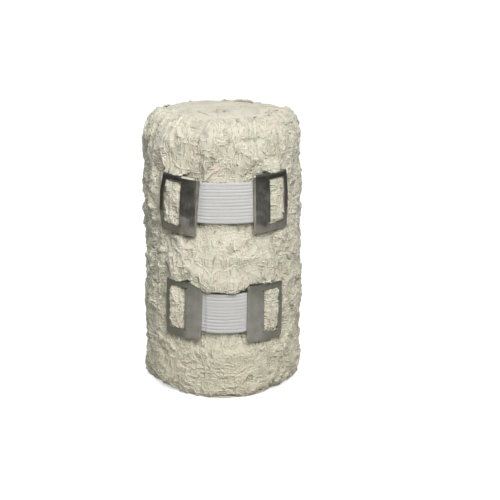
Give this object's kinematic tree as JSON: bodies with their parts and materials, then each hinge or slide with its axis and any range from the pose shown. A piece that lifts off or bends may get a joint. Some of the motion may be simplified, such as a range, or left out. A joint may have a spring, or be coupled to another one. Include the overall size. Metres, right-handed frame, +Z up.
{
  "type": "crepe bandage roll",
  "caption": "Crinkled cotton crepe bandage wound into a roll, its free end held by stretch clips with windowed metal plates on ribbed elastic.",
  "frame": {"origin": "on the roll's axis, in the plane of its flat lower end", "axes": "+Z up along the roll's axis, -Y the front that the clips face, +X to the right seen from the front"},
  "size_m": [0.0465, 0.047, 0.08],
  "materials": {
    "crepe_cotton": "undyed cream crepe, crinkled and matt",
    "plated_steel": "bright nickel-plated pressed sheet",
    "elastic_webbing": "pale grey ribbed woven elastic, matt"
  },
  "bodies": {
    "root": {"bandage_roll": "crepe_cotton", "upper_clip_left_plate": "plated_steel", "upper_clip_right_plate": "plated_steel", "upper_clip_elastic": "elastic_webbing", "lower_clip_left_plate": "plated_steel", "lower_clip_right_plate": "plated_steel", "lower_clip_elastic": "elastic_webbing"}
  },
  "joints": []
}
